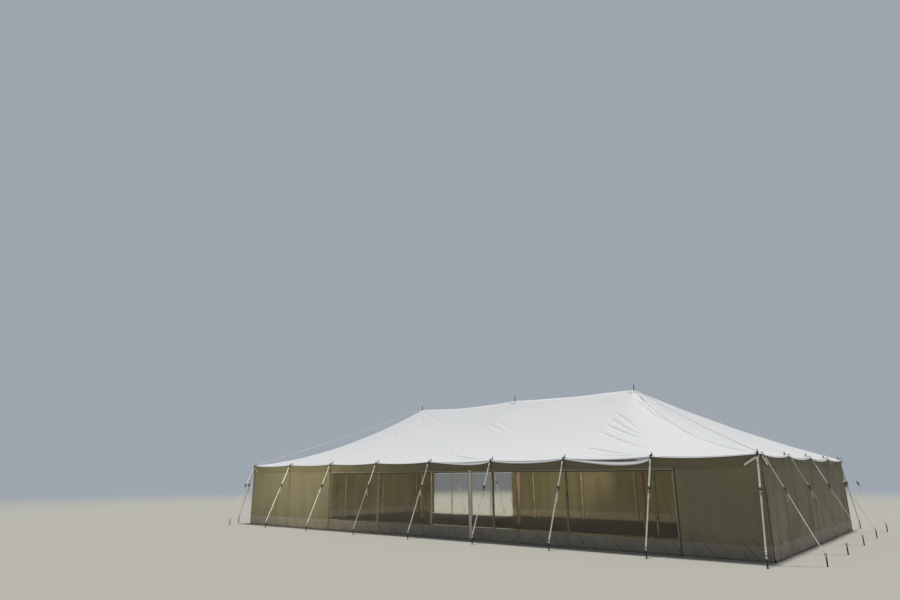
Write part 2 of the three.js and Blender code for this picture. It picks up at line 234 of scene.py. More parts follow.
def slope_height(x, y):
    """Height of the canvas underside without its creases and folds."""
    along, down, on_long = eave_places(x, y)
    beyond = np.maximum(0, np.abs(along) - np.where(on_long, RIDGE_X, 0)) / HALF_Y
    hip_sag = np.where((x > 0) & (y > 0), BACK_RIGHT_HIP_SAG, HIP_SAG)
    slope_sag = (SLOPE_SAG + (hip_sag - SLOPE_SAG) * beyond**2) * 4 * down * (1 - down)
    eave_sag = EAVE_SAG * hang(along, BAY) * np.minimum(1, down) ** EAVE_SAG_FADE
    on_ridge = np.where(beyond > 0, 0, np.maximum(0, 1 - down) ** RIDGE_SAG_FADE)
    ridge_sag = np.where(x > 0, RIDGE_SAG_RIGHT, RIDGE_SAG_LEFT) * hang(along, 2 * BAY) * on_ridge
    return EAVE + (PEAK - EAVE) * (1 - down) - slope_sag - eave_sag - ridge_sag


def edge_slack(x, y):
    """How far the edge turns straight down at each point, and how far it then rolls out."""
    along, _, on_long = eave_places(x, y)
    place = np.clip((along + HALF_X) / BAY, 0, 8)
    bay = np.minimum(place, 7).astype(int)
    turn, lean, lip = np.array(FRONT_SLACK)[bay].T
    leaned = 1 + lean * (2 * (place - bay) - 1)
    varied = 1 + 0.4 * np.sin(2.1 * bay + 1.2 * on_long)
    front = on_long & (y < 0)
    share = hang(along, BAY) ** 0.5
    turn = np.where(front, turn * leaned**2, TURN * varied) * share
    return turn, HEM + (np.where(front, lip * leaned, LIP * varied) - HEM) * share


def crease_lines():
    """Creases as start, end, half width and depth: fans at the pole heads and at the peaks."""
    chance = random.Random(11)
    lines = []

    def fan(x, y, facing, spread, count, reach, depth):
        for k in range(count):
            angle = facing + spread * ((k + chance.uniform(0.2, 0.8)) / count - 0.5)
            length = reach * chance.uniform(0.5, 1)
            far = (x + length * math.cos(angle), y + length * math.sin(angle))
            lines.append(((x, y), far, chance.uniform(0.028, 0.040), depth * chance.uniform(0.5, 1)))

    for k in range(1, 8):
        x = k * BAY - HALF_X
        if k != 7:
            fan(x, -HALF_Y, math.pi / 2, 2.3, 5, 1.3, 0.007)
        fan(x, HALF_Y, -math.pi / 2, 2.3, 5, 1.5, 0.009)
    for k in range(1, 4):
        y = k * BAY - HALF_Y
        fan(HALF_X, y, math.pi, 2.2, 5, 1.5, 0.009)
        fan(-HALF_X, y, 0, 2.2, 5, 1.5, 0.009)
    for sx in (-1, 1):
        for sy in (-1, 1):
            fan(sx * HALF_X, sy * HALF_Y, math.atan2(-sy, -sx), 1.2, 5, 2.2, 0.010)
        fan(sx * RIDGE_X, 0, 0, 2 * math.pi, 13, 1.1, 0.008)
    fan(0, 0, 0, 2 * math.pi, 12, 0.9, 0.007)
    # Two from the second pole head from the right, then the long ones that stand out
    head = (7 * BAY - HALF_X, -HALF_Y)
    lines += [(head, (7.45, -3.10), 0.036, 0.008), (head, (4.90, -4.12), 0.028, 0.020)]
    for near, far, depth in (
        ((4.44, -1.28), (5.58, -2.36), 0.035),
        ((4.40, -1.60), (6.03, -2.99), 0.0375),
        ((4.40, -1.95), (6.15, -3.20), 0.0425),
        ((4.47, -2.45), (6.45, -3.89), 0.0475),
        ((4.62, -3.62), (6.42, -4.40), 0.045),
        ((4.70, -0.30), (5.67, -1.10), 0.0275),
        ((4.80, -0.60), (6.66, -2.33), 0.035),
        ((6.65, -2.24), (7.90, -3.35), 0.0175),
        ((5.46, -0.11), (7.29, -0.62), 0.025),
        ((5.60, 0.45), (8.70, 0.30), 0.0175),
        ((-4.30, -0.15), (-2.80, -0.85), 0.0225),
        ((-4.20, -0.35), (-3.30, -1.45), 0.02),
        ((-4.55, -1.60), (-3.40, -2.50), 0.015),
        ((-0.12, -1.43), (0.90, -2.03), 0.025),
        ((0.20, -1.30), (1.00, -1.85), 0.0225),
        ((-0.10, -1.75), (0.45, -2.10), 0.02),
        ((0.15, -3.86), (2.00, -4.44), 0.045),
    ):
        lines.append((near, far, LONG_CREASE, depth))
    return lines


CREASES = crease_lines()


def near_crease(x, y, crease):
    """How far along a crease each point lies, and how far from it in half widths."""
    (x0, y0), (x1, y1), half_width, _ = crease
    length = math.hypot(x1 - x0, y1 - y0)
    part = ((x - x0) * (x1 - x0) + (y - y0) * (y1 - y0)) / length**2
    aside = ((x - x0) * (y1 - y0) - (y - y0) * (x1 - x0)) / length
    widening = 0.55 + 0.9 * np.clip(part, 0, 1)
    return part, aside / (half_width * widening)


def roof_surface(x, y):
    """Height of the middle of the canvas over any place in the plan."""
    z = slope_height(x, y) + LIFT
    inward = np.minimum(HALF_Y - np.abs(y), HALF_X - np.abs(x))
    billow = 0.006 * np.sin(3.1 * x + 0.7 * y) * np.sin(2.3 * y - 0.4 * x)
    z += billow * np.clip(inward, 0, 1)
    for crease in CREASES:
        part, aside = near_crease(x, y, crease)
        reach = np.clip(part, 0, 1) ** 0.35 * np.clip(1 - part, 0, 1) ** 0.8
        z -= crease[3] * reach * (1 - 2 * aside**2) * np.exp(-(aside**2))
    return z


def cut_edges(shape, edges, cuts):
    bmesh.ops.subdivide_edges(shape, edges=edges, cuts=cuts, use_grid_fill=True)


def refine_creases(shape, least_depth, reach):
    """Halves the cells along the creases of at least this depth, out to a reach in half widths."""
    edges = list(shape.edges)
    middle = np.array([(e.verts[0].co + e.verts[1].co) / 2 for e in edges])
    wanted = np.zeros(len(edges), bool)
    for crease in CREASES:
        if crease[3] >= least_depth:
            part, aside = near_crease(middle[:, 0], middle[:, 1], crease)
            wanted |= (part > -0.03) & (part < 1) & (np.abs(aside) < reach)
    cut_edges(shape, [edges[i] for i in np.flatnonzero(wanted)], 1)


def grow(shape, edges):
    """Adds a row of faces along edges, and gives its new corners and its outer edges."""
    grown = bmesh.ops.extrude_edge_only(shape, edges=edges)["geom"]
    corners = [v for v in grown if isinstance(v, bmesh.types.BMVert)]
    outer = set(corners)
    rim = [e for e in grown if isinstance(e, bmesh.types.BMEdge) and outer.issuperset(e.verts)]
    return corners, rim


def face_outward(shape):
    bmesh.ops.recalc_face_normals(shape, faces=shape.faces)
    return shape


def roof_shape():
    shape = bmesh.new()
    cells_x, cells_y = round(2 * HALF_X / MESH_STEP), round(2 * HALF_Y / MESH_STEP)
    bmesh.ops.create_grid(shape, x_segments=cells_x, y_segments=cells_y, size=1)
    bmesh.ops.scale(shape, vec=(HALF_X, HALF_Y, 1), verts=shape.verts)
    outer, _ = grow(shape, [e for e in shape.edges if e.is_boundary])
    wider = ((HALF_X + OVERHANG) / HALF_X, (HALF_Y + OVERHANG) / HALF_Y, 1)
    bmesh.ops.scale(shape, verts=outer, vec=wider)
    for sx in (-1, 1):
        for sy in (-1, 1):
            middles = [(f, f.calc_center_median()) for f in shape.faces]
            corner = [f for f, c in middles if c.x * sx > RIDGE_X and c.y * sy > 0]
            parts = list(dict.fromkeys(g for f in corner for g in (f, *f.edges, *f.verts)))
            at, across = (sx * RIDGE_X, 0, 0), (sy, -sx, 0)
            bmesh.ops.bisect_plane(shape, geom=parts, dist=1e-4, plane_co=at, plane_no=across)

    def crosses_eave(edge):
        a, b = (v.co for v in edge.verts)
        return any(
            abs(a[i] - b[i]) < 1e-4 and abs(a[1 - i] + b[1 - i]) / 2 > half - 3.2 * MESH_STEP
            for i, half in ((0, HALF_Y), (1, HALF_X))
        )

    cut_edges(shape, [e for e in shape.edges if crosses_eave(e)], FINE_STEPS)
    for least_depth, reach in CREASE_CUTS:
        refine_creases(shape, least_depth, reach)
    odd = [f for f in shape.faces if len(f.verts) > 4]
    bmesh.ops.triangulate(shape, faces=odd, quad_method="BEAUTY", ngon_method="BEAUTY")
    places = np.array([v.co for v in shape.verts])
    for vert, z in zip(shape.verts, roof_surface(places[:, 0], places[:, 1])):
        vert.co.z = z
    flat_place = {vert: vert.co.xy for vert in shape.verts}
    roll_edge(shape, flat_place)
    uv = shape.loops.layers.uv.new("cloth")
    for face in shape.faces:
        for loop in face.loops:
            loop[uv].uv = flat_place[loop.vert]
    return face_outward(shape)


def roll_edge(shape, flat_place):
    """Rolls the edge of the canvas down over the valance, further where it hangs slack."""
    rim = [e for e in shape.edges if e.is_boundary]
    for row in range(TURN_ROWS + LIP_ROWS):
        edge, rim = grow(shape, rim)
        places = np.array([v.co for v in edge])
        turn, lip = edge_slack(places[:, 0], places[:, 1])
        falls, spread = (turn / TURN_ROWS, 0.03) if row < TURN_ROWS else (lip / LIP_ROWS, 0.85)
        for vert, down in zip(edge, falls):
            end = abs(vert.co.x) > HALF_X + OVERHANG - 1e-4
            long = abs(vert.co.y) > HALF_Y + OVERHANG - 1e-4
            outward = Vector((math.copysign(end, vert.co.x), math.copysign(long, vert.co.y)))
            vert.co += Vector((*(outward * spread * down), -down))
            flat_place[vert] = vert.co.xy + outward * down


def lay_flat(shape):
    """Keeps each corner's flat place as the cloth's own map."""
    uv = shape.loops.layers.uv.new("cloth")
    for face in shape.faces:
        for loop in face.loops:
            loop[uv].uv = loop.vert.co.xy


def edges_of(corners):
    return list(dict.fromkeys(e for v in corners for e in v.link_edges))


def round_patches(places, radii):
    """Round patches that follow the canvas, each with a hole for a pin in its middle."""
    shape = bmesh.new()
    for x, y in places:
        middle = Matrix.Translation((x, y, 0))
        rim = bmesh.ops.create_circle(shape, segments=32, radius=radii[0], matrix=middle)["verts"]
        edges = edges_of(rim)
        for inner, outer in zip(radii, radii[1:]):
            rim, edges = grow(shape, edges)
            wider = (outer / inner, outer / inner, 1)
            bmesh.ops.scale(shape, vec=wider, space=middle.inverted(), verts=rim)
    lay_flat(shape)
    flat = np.array([v.co for v in shape.verts])
    for vert, z in zip(shape.verts, roof_surface(flat[:, 0], flat[:, 1]) + PATCH_LIFT):
        vert.co.z = z
    return face_outward(shape)


def place_piece(name, shape, material, slot, *nodes, thickness=0):
    """Makes a mesh into a piece that rides on the body and stands for its CAD nodes."""
    mesh = bpy.data.meshes.new(name)
    shape.to_mesh(mesh)
    shape.free()
    mesh.shade_smooth()
    piece = bpy.data.objects.new(name, mesh)
    scene.collection.objects.link(piece)
    mesh.materials.append(material)
    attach(piece, "root")
    if nodes:
        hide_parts(*nodes)
    if thickness:
        solid = piece.modifiers.new("thickness", "SOLIDIFY")
        solid.thickness = thickness
        solid.offset = 0
    return piece


def new_group(name, takes, gives):
    """A shader node group: its tree, its inputs' values, and its output node."""
    tree = bpy.data.node_groups.new(name, "ShaderNodeTree")
    for way, sockets in (("INPUT", takes), ("OUTPUT", gives)):
        for socket in sockets:
            kind = "Vector" if socket in ("Vector", "Streaks") else "Float"
            tree.interface.new_socket(socket, in_out=way, socket_type="NodeSocket" + kind)
    return tree, tree.nodes.new("NodeGroupInput").outputs, tree.nodes.new("NodeGroupOutput")


def use_group(tree, group, inputs):
    node = tree.nodes.new("ShaderNodeGroup")
    node.node_tree = group
    feed(node, inputs)
    return node.outputs


def noise(tree, place, scale, detail, distortion=0.0):
    inputs = {"Vector": place, "Scale": scale, "Detail": detail, "Distortion": distortion}
    return add_node(tree, "TexNoise", inputs)["Fac"]


def times(tree, place, factors):
    return add_node(tree, "VectorMath", {0: place, 1: factors}, operation="MULTIPLY")[0]


def weave_group():
    """Fine crossed threads: their height, from 0 to 1."""
    tree, given, made = new_group("cloth_weave", ["Vector", "Scale"], ["Height"])
    inputs = {name: given[name] for name in ("Vector", "Scale")}
    threads = [add_node(tree, "TexWave", inputs, bands_direction=way)["Fac"] for way in "XY"]
    feed(made, {"Height": calc(tree, "MULTIPLY", *threads)})
    return tree


def weather_group():
    """Where rain and dust have marked the cloth: soft clouds and streaks along the fall."""
    tree, given, made = new_group("weather_marks", ["Vector", "Streaks"], ["Mask"])
    place = given["Vector"]
    clouds = noise(tree, place, 0.8, 4)
    streaks = noise(tree, times(tree, place, given["Streaks"]), 1, 5)
    both = calc(tree, "MULTIPLY", clouds, streaks)
    feed(made, {"Mask": remap(tree, both, 0.18, 0.42)})
    return tree


def seam_group():
    """Lines across the cloth, one every Spacing: 1 on a line and 0 off it."""
    tree, given, made = new_group("seam_lines", ["Place", "Spacing", "Half Width"], ["Mask"])
    half_width = given["Half Width"]
    half = calc(tree, "MULTIPLY", given["Spacing"], 0.5)
    away = calc(tree, "PINGPONG", given["Place"], half)
    inner = calc(tree, "MULTIPLY", half_width, 0.7)
    feed(made, {"Mask": remap(tree, away, inner, half_width, 1, 0)})
    return tree


WEAVE, WEATHER, SEAM = weave_group(), weather_group(), seam_group()
THREADS = 180  # wave scale of the canvas's weave, about 1.7 mm from thread to thread


def mix_color(tree, factor, a, b):
    return add_node(tree, "Mix", {0: factor, 6: a, 7: b}, data_type="RGBA")[2]


def bump(tree, height, distance, strength=1.0, normal=None):
    inputs = {"Height": height, "Distance": distance, "Strength": strength}
    if normal is not None:
        inputs["Normal"] = normal
    return add_node(tree, "Bump", inputs)["Normal"]


def wrinkle_group():
    """Crisp creases that run aslant both ways, strongest along the foot: 1 on a crease."""
    tree, given, made = new_group("foot_wrinkles", ["Vector", "Up"], ["Height"])
    low = remap(tree, given["Up"], 0.12, 0.75, 1, 0.12)
    total = 0.0
    for angle, share in ((0.70, 1.0), (-0.95, 0.45)):
        inputs = {"Vector": given["Vector"], "Rotation": (0, 0, angle), "Scale": (0.36, 1.7, 1)}
        place = add_node(tree, "Mapping", inputs, vector_type="TEXTURE")["Vector"]
        height = noise(tree, place, 1, 1.5, 0.5)
        off_crease = calc(tree, "ABSOLUTE", calc(tree, "SUBTRACT", height, 0.5))
        total = calc(tree, "MULTIPLY_ADD", remap(tree, off_crease, 0, 0.05, 1, 0), share, total)
    feed(made, {"Height": calc(tree, "MULTIPLY", total, low)})
    return tree


FOOT_WRINKLES = wrinkle_group()


def cloth_place(tree):
    """The cloth's own place in metres, across and along, and both apart."""
    place = add_node(tree, "UVMap", uv_map="cloth")["UV"]
    apart = add_node(tree, "SeparateXYZ", {"Vector": place})
    return place, apart["X"], apart["Y"]


def canvas_material(name, clean, marked, marks, streaks, seam_place=None, foot=None, seam_tone=0.35):
    """Coated canvas: a fine weave, soft marks, sewn seams, its own colour at the foot, and painted shade
    along the creases at the foot.
    """
    material, tree, shader = new_material(name)
    place, across, along = cloth_place(tree)
    weather = use_group(tree, WEATHER, {"Vector": place, "Streaks": streaks})["Mask"]
    color = mix_color(tree, calc(tree, "MULTIPLY", weather, marks), clean, marked)
    weave = use_group(tree, WEAVE, {"Vector": place, "Scale": THREADS})["Height"]
    normal = bump(tree, weave, 0.00006)
    if foot is not None:
        foot_height, foot_color = foot
        in_foot = remap(tree, along, foot_height - 0.003, foot_height + 0.003, 0.75, 0)
        color = mix_color(tree, in_foot, color, foot_color)
        creases = use_group(tree, FOOT_WRINKLES, {"Vector": place, "Up": along})["Height"]
        # Painted shade: the colour darkens a little towards the marked colour along the foot creases.
        color = mix_color(tree, calc(tree, "MULTIPLY", creases, 0.10), color, marked)
        normal = bump(tree, creases, 0.018, 1, normal)
    if seam_place is not None:
        seam = use_group(tree, SEAM, {
            "Place": seam_place(tree, across, along), "Spacing": 2 * HALF_X, "Half Width": 0.013,
        })["Mask"]
        color = mix_color(tree, calc(tree, "MULTIPLY", seam, seam_tone), color, marked)
        normal = bump(tree, seam, 0.0008, 1, normal)
    rough = remap(tree, weather, 0, 1, 0.46, 0.62)
    feed(shader, {"Base Color": color, "Roughness": rough, "Normal": normal})
    feed(shader, {"Specular IOR Level": 0.35})
    return material


def roof_seams(tree, x, y):
    """Distance to the nearest seam, between strips or along a hip."""
    past_end = calc(tree, "SUBTRACT", calc(tree, "ABSOLUTE", x), RIDGE_X)
    off_middle = calc(tree, "ABSOLUTE", y)
    on_end = calc(tree, "GREATER_THAN", past_end, off_middle)
    along_eave = add_node(tree, "Mix", {0: on_end, 2: x, 3: y})[0]
    to_strip = calc(tree, "PINGPONG", along_eave, STRIP / 2)
    to_hip = calc(tree, "ABSOLUTE", calc(tree, "SUBTRACT", past_end, off_middle))
    return calc(tree, "MINIMUM", to_strip, to_hip)


WHITE = (0.785, 0.80, 0.82, 1)
WHITE_MARKED = (0.56, 0.57, 0.56, 1)
roof_canvas = canvas_material(
    "roof_canvas", WHITE, WHITE_MARKED, 0.24, (1.1, 1.1, 1), roof_seams, seam_tone=0.07,
)
roof_nodes = [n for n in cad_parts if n.startswith("roof_")]
roof = place_piece("roof_canvas", roof_shape(), roof_canvas, "roof_canvas", *roof_nodes, thickness=CLOTH)
keep_from_glow(roof)
PEAKS = [(x, 0) for x in (-RIDGE_X, 0, RIDGE_X)]
SIDE_HEADS = [(k * BAY, y) for k in range(-4, 5) for y in (-HALF_Y, HALF_Y)]
SIDE_HEADS += [(x, k * BAY) for k in (-1, 0, 1) for x in (-HALF_X, HALF_X)]
patch_canvas = canvas_material("patch_canvas", (0.77, 0.78, 0.79, 1), WHITE_MARKED, 0.3, (5, 5, 1))
roof_patches = [
    place_piece(name, round_patches(places, radii), patch_canvas, "roof_canvas", thickness=CLOTH)
    for name, places, radii in (
        ("peak_patches", PEAKS, (0.019, 0.03, 0.05, 0.08, 0.11, 0.15, 0.19)),
        ("side_head_patches", SIDE_HEADS, (0.013, 0.02, 0.034, 0.05, 0.066, 0.074)),
    )
]

# Valances
# A strip of the same canvas sewn under the edge of the roof on each side. It swings outward a
# little where the edge hangs slack, and both ends are turned up aslant to the corner heads. Its
# dark olive colour is painted shade, and the pale strip along each turned up end is painted sunlight.
VALANCE_DEPTH = 0.21
VALANCE_STEP = BAY / 36
VALANCE_ROWS = 10
VALANCE_SWING = 0.014
VALANCE_DROP = 0.009  # of its sewn edge below the middle of the canvas
CORNER_FOLD = 0.34  # length of the turned up end
CORNER_DEPTH = 0.12  # depth left at the corner, as a share of the full depth
TURNED_UP = 0.045  # width of the inner face that shows along the fold, made pale as painted sunlight
SIDES = {  # turn from the front, shift along X, and half of the ridge above that side
    "front": (0, 0, RIDGE_X),
    "right": (math.pi / 2, RIDGE_X, 0),
    "back": (math.pi, 0, RIDGE_X),
    "left": (-math.pi / 2, -RIDGE_X, 0),
}


def side_matrix(side):
    """Each side is drawn as the front one and turned into place."""
    turned, shift, _ = SIDES[side]
    return Matrix.Translation((shift, 0, 0)) @ Matrix.Rotation(turned, 4, "Z")


def canvas_above(side, along, out):
    """Height of the canvas over a place that lies out from the line of the side poles."""
    matrix = np.array(side_matrix(side))
    x = matrix[0, 0] * along + matrix[0, 1] * (-HALF_Y - out) + matrix[0, 3]
    y = matrix[1, 0] * along + matrix[1, 1] * (-HALF_Y - out)
    return roof_surface(x, y)


def ease(value):
    """0 below 0, 1 above 1, and smooth between."""
    value = np.clip(value, 0, 1)
    return value * value * (3 - 2 * value)


def cut_window(shape, window):
    left, bottom, right, top = window
    for place, direction in (
        ((left, 0, 0), (1, 0, 0)), ((right, 0, 0), (1, 0, 0)),
        ((0, bottom, 0), (0, 1, 0)), ((0, top, 0), (0, 1, 0)),
    ):
        geometry = [*shape.verts, *shape.edges, *shape.faces]
        bmesh.ops.bisect_plane(shape, geom=geometry, dist=1e-4, plane_co=place, plane_no=direction)
    middles = [(f, f.calc_center_median()) for f in shape.faces]
    hole = [f for f, c in middles if left < c.x < right and bottom < c.y < top]
    bmesh.ops.delete(shape, geom=hole, context="FACES")


def flat_cloth(left, bottom, right, top, cells, window=None):
    """Cloth that lies flat: its shape, and the place of each corner across it and up it."""
    shape = bmesh.new()
    bmesh.ops.create_grid(shape, x_segments=cells[0], y_segments=cells[1], size=0.5)
    bmesh.ops.scale(shape, vec=(right - left, top - bottom, 1), verts=shape.verts)
    bmesh.ops.translate(shape, vec=((left + right) / 2, (bottom + top) / 2, 0), verts=shape.verts)
    if window:
        cut_window(shape, window)
    lay_flat(shape)
    flat = np.array([v.co for v in shape.verts])
    return shape, flat[:, 0], flat[:, 1]


def hang_cloth(shape, side, out, up):
    """Moves flat cloth to its place, given how far out and up each corner lies."""
    matrix = side_matrix(side)
    for vert, o, z in zip(shape.verts, out, up):
        vert.co = matrix @ Vector((vert.co.x, -HALF_Y - o, z))
    return shape


def valance_half(side):
    return SIDES[side][2] + HALF_Y + OVERHANG


def valance_top(side, along):
    return canvas_above(side, along, OVERHANG) - VALANCE_DROP


def valance_depth(half, along):
    whole = np.clip((half - np.abs(along)) / CORNER_FOLD, 0, 1)
    return VALANCE_DEPTH * (CORNER_DEPTH + (1 - CORNER_DEPTH) * whole)


def valance_out(half, along, down):
    """How far out the strip hangs, at a distance down from the edge of the roof."""
    slack = hang(along, BAY) * (half - np.abs(along) > OVERHANG)
    swing = VALANCE_SWING * slack * (1 - np.exp(-down / 0.032))
    ripple = 0.006 * down / VALANCE_DEPTH * slack * np.sin(17 * along + 2 * np.sin(3.1 * along))
    return OVERHANG - 0.003 + swing + ripple


def valance_shape(side):
    half = valance_half(side)
    cells = (round(2 * half / VALANCE_STEP), VALANCE_ROWS)
    shape, along, flat_up = flat_cloth(-half, -VALANCE_DEPTH, half, 0, cells)
    down = -flat_up / VALANCE_DEPTH * valance_depth(half, along)
    return hang_cloth(shape, side, valance_out(half, along, down), valance_top(side, along) - down)


def turned_up_shape(side, end):
    """The strip along the fold at one end of a valance, pale as painted sunlight: end is -1 or 1."""
    half = valance_half(side)
    left, right = sorted((end * (half - CORNER_FOLD - 0.01), end * (half - 0.03)))
    shape, along, up = flat_cloth(left, 0, right, TURNED_UP, (14, 3))
    depth = valance_depth(half, along)
    share = np.minimum(1, (depth - 0.008) / TURNED_UP) * ease((half - np.abs(along)) / 0.3 + 0.5)
    down = depth + 0.003 - up * share
    out = valance_out(half, along, down) + 0.004 + 0.5 * up
    return hang_cloth(shape, side, out, valance_top(side, along) - down)


def valance_hem(tree, across, along):
    return calc(tree, "ADD", along, VALANCE_DEPTH - 0.025)


# Painted shade: the valance is the roof's canvas, coloured dark olive for the shade under the eave.
VALANCE_PAINTED_SHADE = (0.21, 0.19, 0.105, 1)
VALANCE_SHADE_MARKED = (0.14, 0.125, 0.08, 1)
streaks = (2.5, 0.5, 1)
valance_canvas = canvas_material("valance_canvas", VALANCE_PAINTED_SHADE, VALANCE_SHADE_MARKED, 0.45, streaks, valance_hem)
# Painted sunlight: the turned up inner face is coloured paler than the roof, for light falling on it.
turned_canvas = canvas_material("turned_canvas", (0.90, 0.87, 0.76, 1), WHITE_MARKED, 0.2, (5, 5, 1))
for side in SIDES:
    shape = valance_shape(side)
    name = f"valance_{side}_"
    valance = place_piece(
        name + "cloth", shape, valance_canvas, "roof_canvas", "valance_" + side, thickness=CLOTH,
    )
    folds = [
        place_piece(name + which, turned_up_shape(side, end), turned_canvas, "roof_canvas", thickness=CLOTH)
        for which, end in (("fold_a", -1), ("fold_b", 1))
    ]
    size = (VALANCE_DEPTH, 2 * valance_half(side))

# Walls
# Curtains of lighter canvas, hung inside the eaves and standing on the ground. They fall in loose
# upright folds, drag a little at the foot, and the front has two curtains with clear windows. Their
# dark olive colour is painted shade, and so are the darker tones of the foot band and the window tape.
WALL_OUT = 0.056  # from the line of the side poles to the cloth
WALL_STEP = 0.04
WALL_ROWS = 44
WALL_HEIGHT = 1.96  # of the cloth before its top is drawn up to the eave
TOP_DRAW = 0.22  # height of cloth that takes up the scallops
WALL_CUT = EAVE - 0.04  # mean height of the cut, whose top edge is scalloped
FOOT_BAND = 0.30  # height of the band sewn on along the foot
WINDOW_LAP = 0.0225  # the clear sheet laps the cloth by this much
BORDER = 0.024  # width of the tape round a window
TAPE_PROUD = 0.0025  # of the wall's cloth
BAND_PROUD = 0.006
TURNED_IN = 0.04  # of the cut, all round a window, before its hem is sewn
JOIN_STRIP = 0.018  # width of the near black strip over the join of two curtains, painted shadow


def crisp(phase, width=0.25):
    """Narrow ridges, one every half turn of the phase."""
    return np.exp(-((np.sin(phase) / width) ** 2))


def wall_out(along, up):
    """How far out the hanging cloth stands from the line of the side poles."""
    low = 1 - ease(up / 0.55)
    wander = 1.6 * np.sin(1.3 * along) + 0.8 * np.sin(3.7 * along + 4 * up)
    aslant = 0.013 * low * crisp(3.3 * along + 4.6 * up + wander)
    aslant -= 0.013 * low * crisp(2.6 * along - 5.4 * up + 1.7 * wander + 1)
    upright = 0.005 * crisp(4.4 * along + wander, 0.16)
    broad = 0.013 * np.sin(6.3 * along + 1.4 * np.sin(1.9 * along))
    narrow = 0.005 * np.sin(16.5 * along + 2.1 * np.sin(2.7 * along) + 0.5 * up)
    loose = 0.45 + 0.55 * np.sin(math.pi * np.clip(up / WALL_HEIGHT, 0, 1))
    foot = 0.022 * np.exp(-up / 0.10) * (1 + 0.5 * np.sin(7.3 * along + 2 * np.sin(3.3 * along)))
    crumple = 0.010 * np.exp(-up / 0.07) * crisp(9.1 * along + 3 * wander + 14 * up, 0.3)
    return WALL_OUT + (broad + narrow + upright) * loose + aslant + foot + crumple


def wall_top(side, along, up):
    """Height of each corner once the top of the cloth is drawn up to the eave."""
    above = canvas_above(side, along, WALL_OUT) - LIFT - 0.002
    return up + (above - WALL_HEIGHT) * ease((up - WALL_HEIGHT + TOP_DRAW) / TOP_DRAW)


def span_of(node, side):
    """Where a wall starts and ends along its side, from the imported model."""
    back = side_matrix(side).inverted()
    ends = [(back @ corner).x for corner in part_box(node)]
    return min(ends), max(ends)


def curtain(side, left, bottom, right, top, cells, window=None, proud=0.0):
    """Cloth that hangs from the eave, or a tape that stands a little proud of such cloth."""
    shape, along, up = flat_cloth(left, bottom, right, top, cells, window)
    return hang_cloth(shape, side, wall_out(along, up) + proud, wall_top(side, along, up))


def tape_round(side, window):
    left, bottom, right, top = window
    outer = (left - BORDER, bottom - BORDER, right + BORDER, top + BORDER)
    return curtain(side, *outer, (120, 30), window, TAPE_PROUD)


def wall_seams(tree, across, along):
    """Upright seams between the widths of cloth, and one along the top of the foot band."""
    upright = calc(tree, "PINGPONG", across, 0.75)
    to_band = calc(tree, "ABSOLUTE", calc(tree, "SUBTRACT", along, FOOT_BAND))
    return calc(tree, "MINIMUM", upright, to_band)


# Painted shade: the wall canvas and its marks are coloured dark olive to stand for the shade on the walls.
WALL_PAINTED_SHADE = (0.250, 0.228, 0.140, 1)
WALL_SHADE_MARKED = (0.19, 0.165, 0.11, 1)
# The foot band is greyer than the wall on its own, and its darkness is painted shade too.
shaded_foot_band = (FOOT_BAND, (0.34, 0.315, 0.27, 1))
wall_canvas = canvas_material("wall_canvas", WALL_PAINTED_SHADE, WALL_SHADE_MARKED, 0.55, (3, 0.45, 1), wall_seams, shaded_foot_band)
# Painted shade: the window tape is coloured darker than its canvas, a little lighter than the wall.
shaded_tape_canvas = canvas_material("window_tape", (0.42, 0.385, 0.28, 1), WALL_SHADE_MARKED, 0.4, (4, 1, 1))
band_canvas = canvas_material("join_band", (0.74, 0.71, 0.61, 1), WALL_SHADE_MARKED, 0.4, (4, 1, 1))
# Painted shadow: the join strips are near black to stand for the shade between two curtains.
join_shadow_canvas = canvas_material("join_strip", (0.10, 0.092, 0.065, 1), WALL_SHADE_MARKED, 0.3, (4, 1, 1))


def window_of(clear_node, side):
    """The window's hole in the cloth, from the clear sheet that laps it."""
    left, right = span_of(clear_node, side)
    low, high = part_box(clear_node)
    return left + WINDOW_LAP, low.z + WINDOW_LAP, right - WINDOW_LAP, high.z - WINDOW_LAP


for side in ("front", "back", "left", "right"):
    for name in sorted(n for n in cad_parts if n.startswith(side + "_") and "wall" in n):
        start, end = span_of(name, side)
        window = window_of(name.replace("wall", "clear"), side) if "window" in name else None
        cells = (max(4, round((end - start) / WALL_STEP)), WALL_ROWS)
        shape = curtain(side, start, 0, end, WALL_HEIGHT, cells, window)
        wall = place_piece(name + "_cloth", shape, wall_canvas, "wall_canvas", name, thickness=CLOTH)
        border = []
        area = (end - start) * WALL_CUT
        if window:
            tape = tape_round(side, window)
            border = [place_piece(name + "_tape", tape, shaded_tape_canvas, "wall_canvas", thickness=CLOTH)]
            area -= (window[2] - window[0] - 2 * TURNED_IN) * (window[3] - window[1] - 2 * TURNED_IN)
        size = (EAVE, end - start)

# Clear sheets
# Soft clear sheet welded behind each window, a little wavy. The two window curtains meet under a
# pale band from eave to ground. Near black strips over the joins of the other curtains are painted
# shadow, for the shade line where two curtains meet.
CLEAR_STEP = 0.06
CLEAR_THICKNESS = 0.001


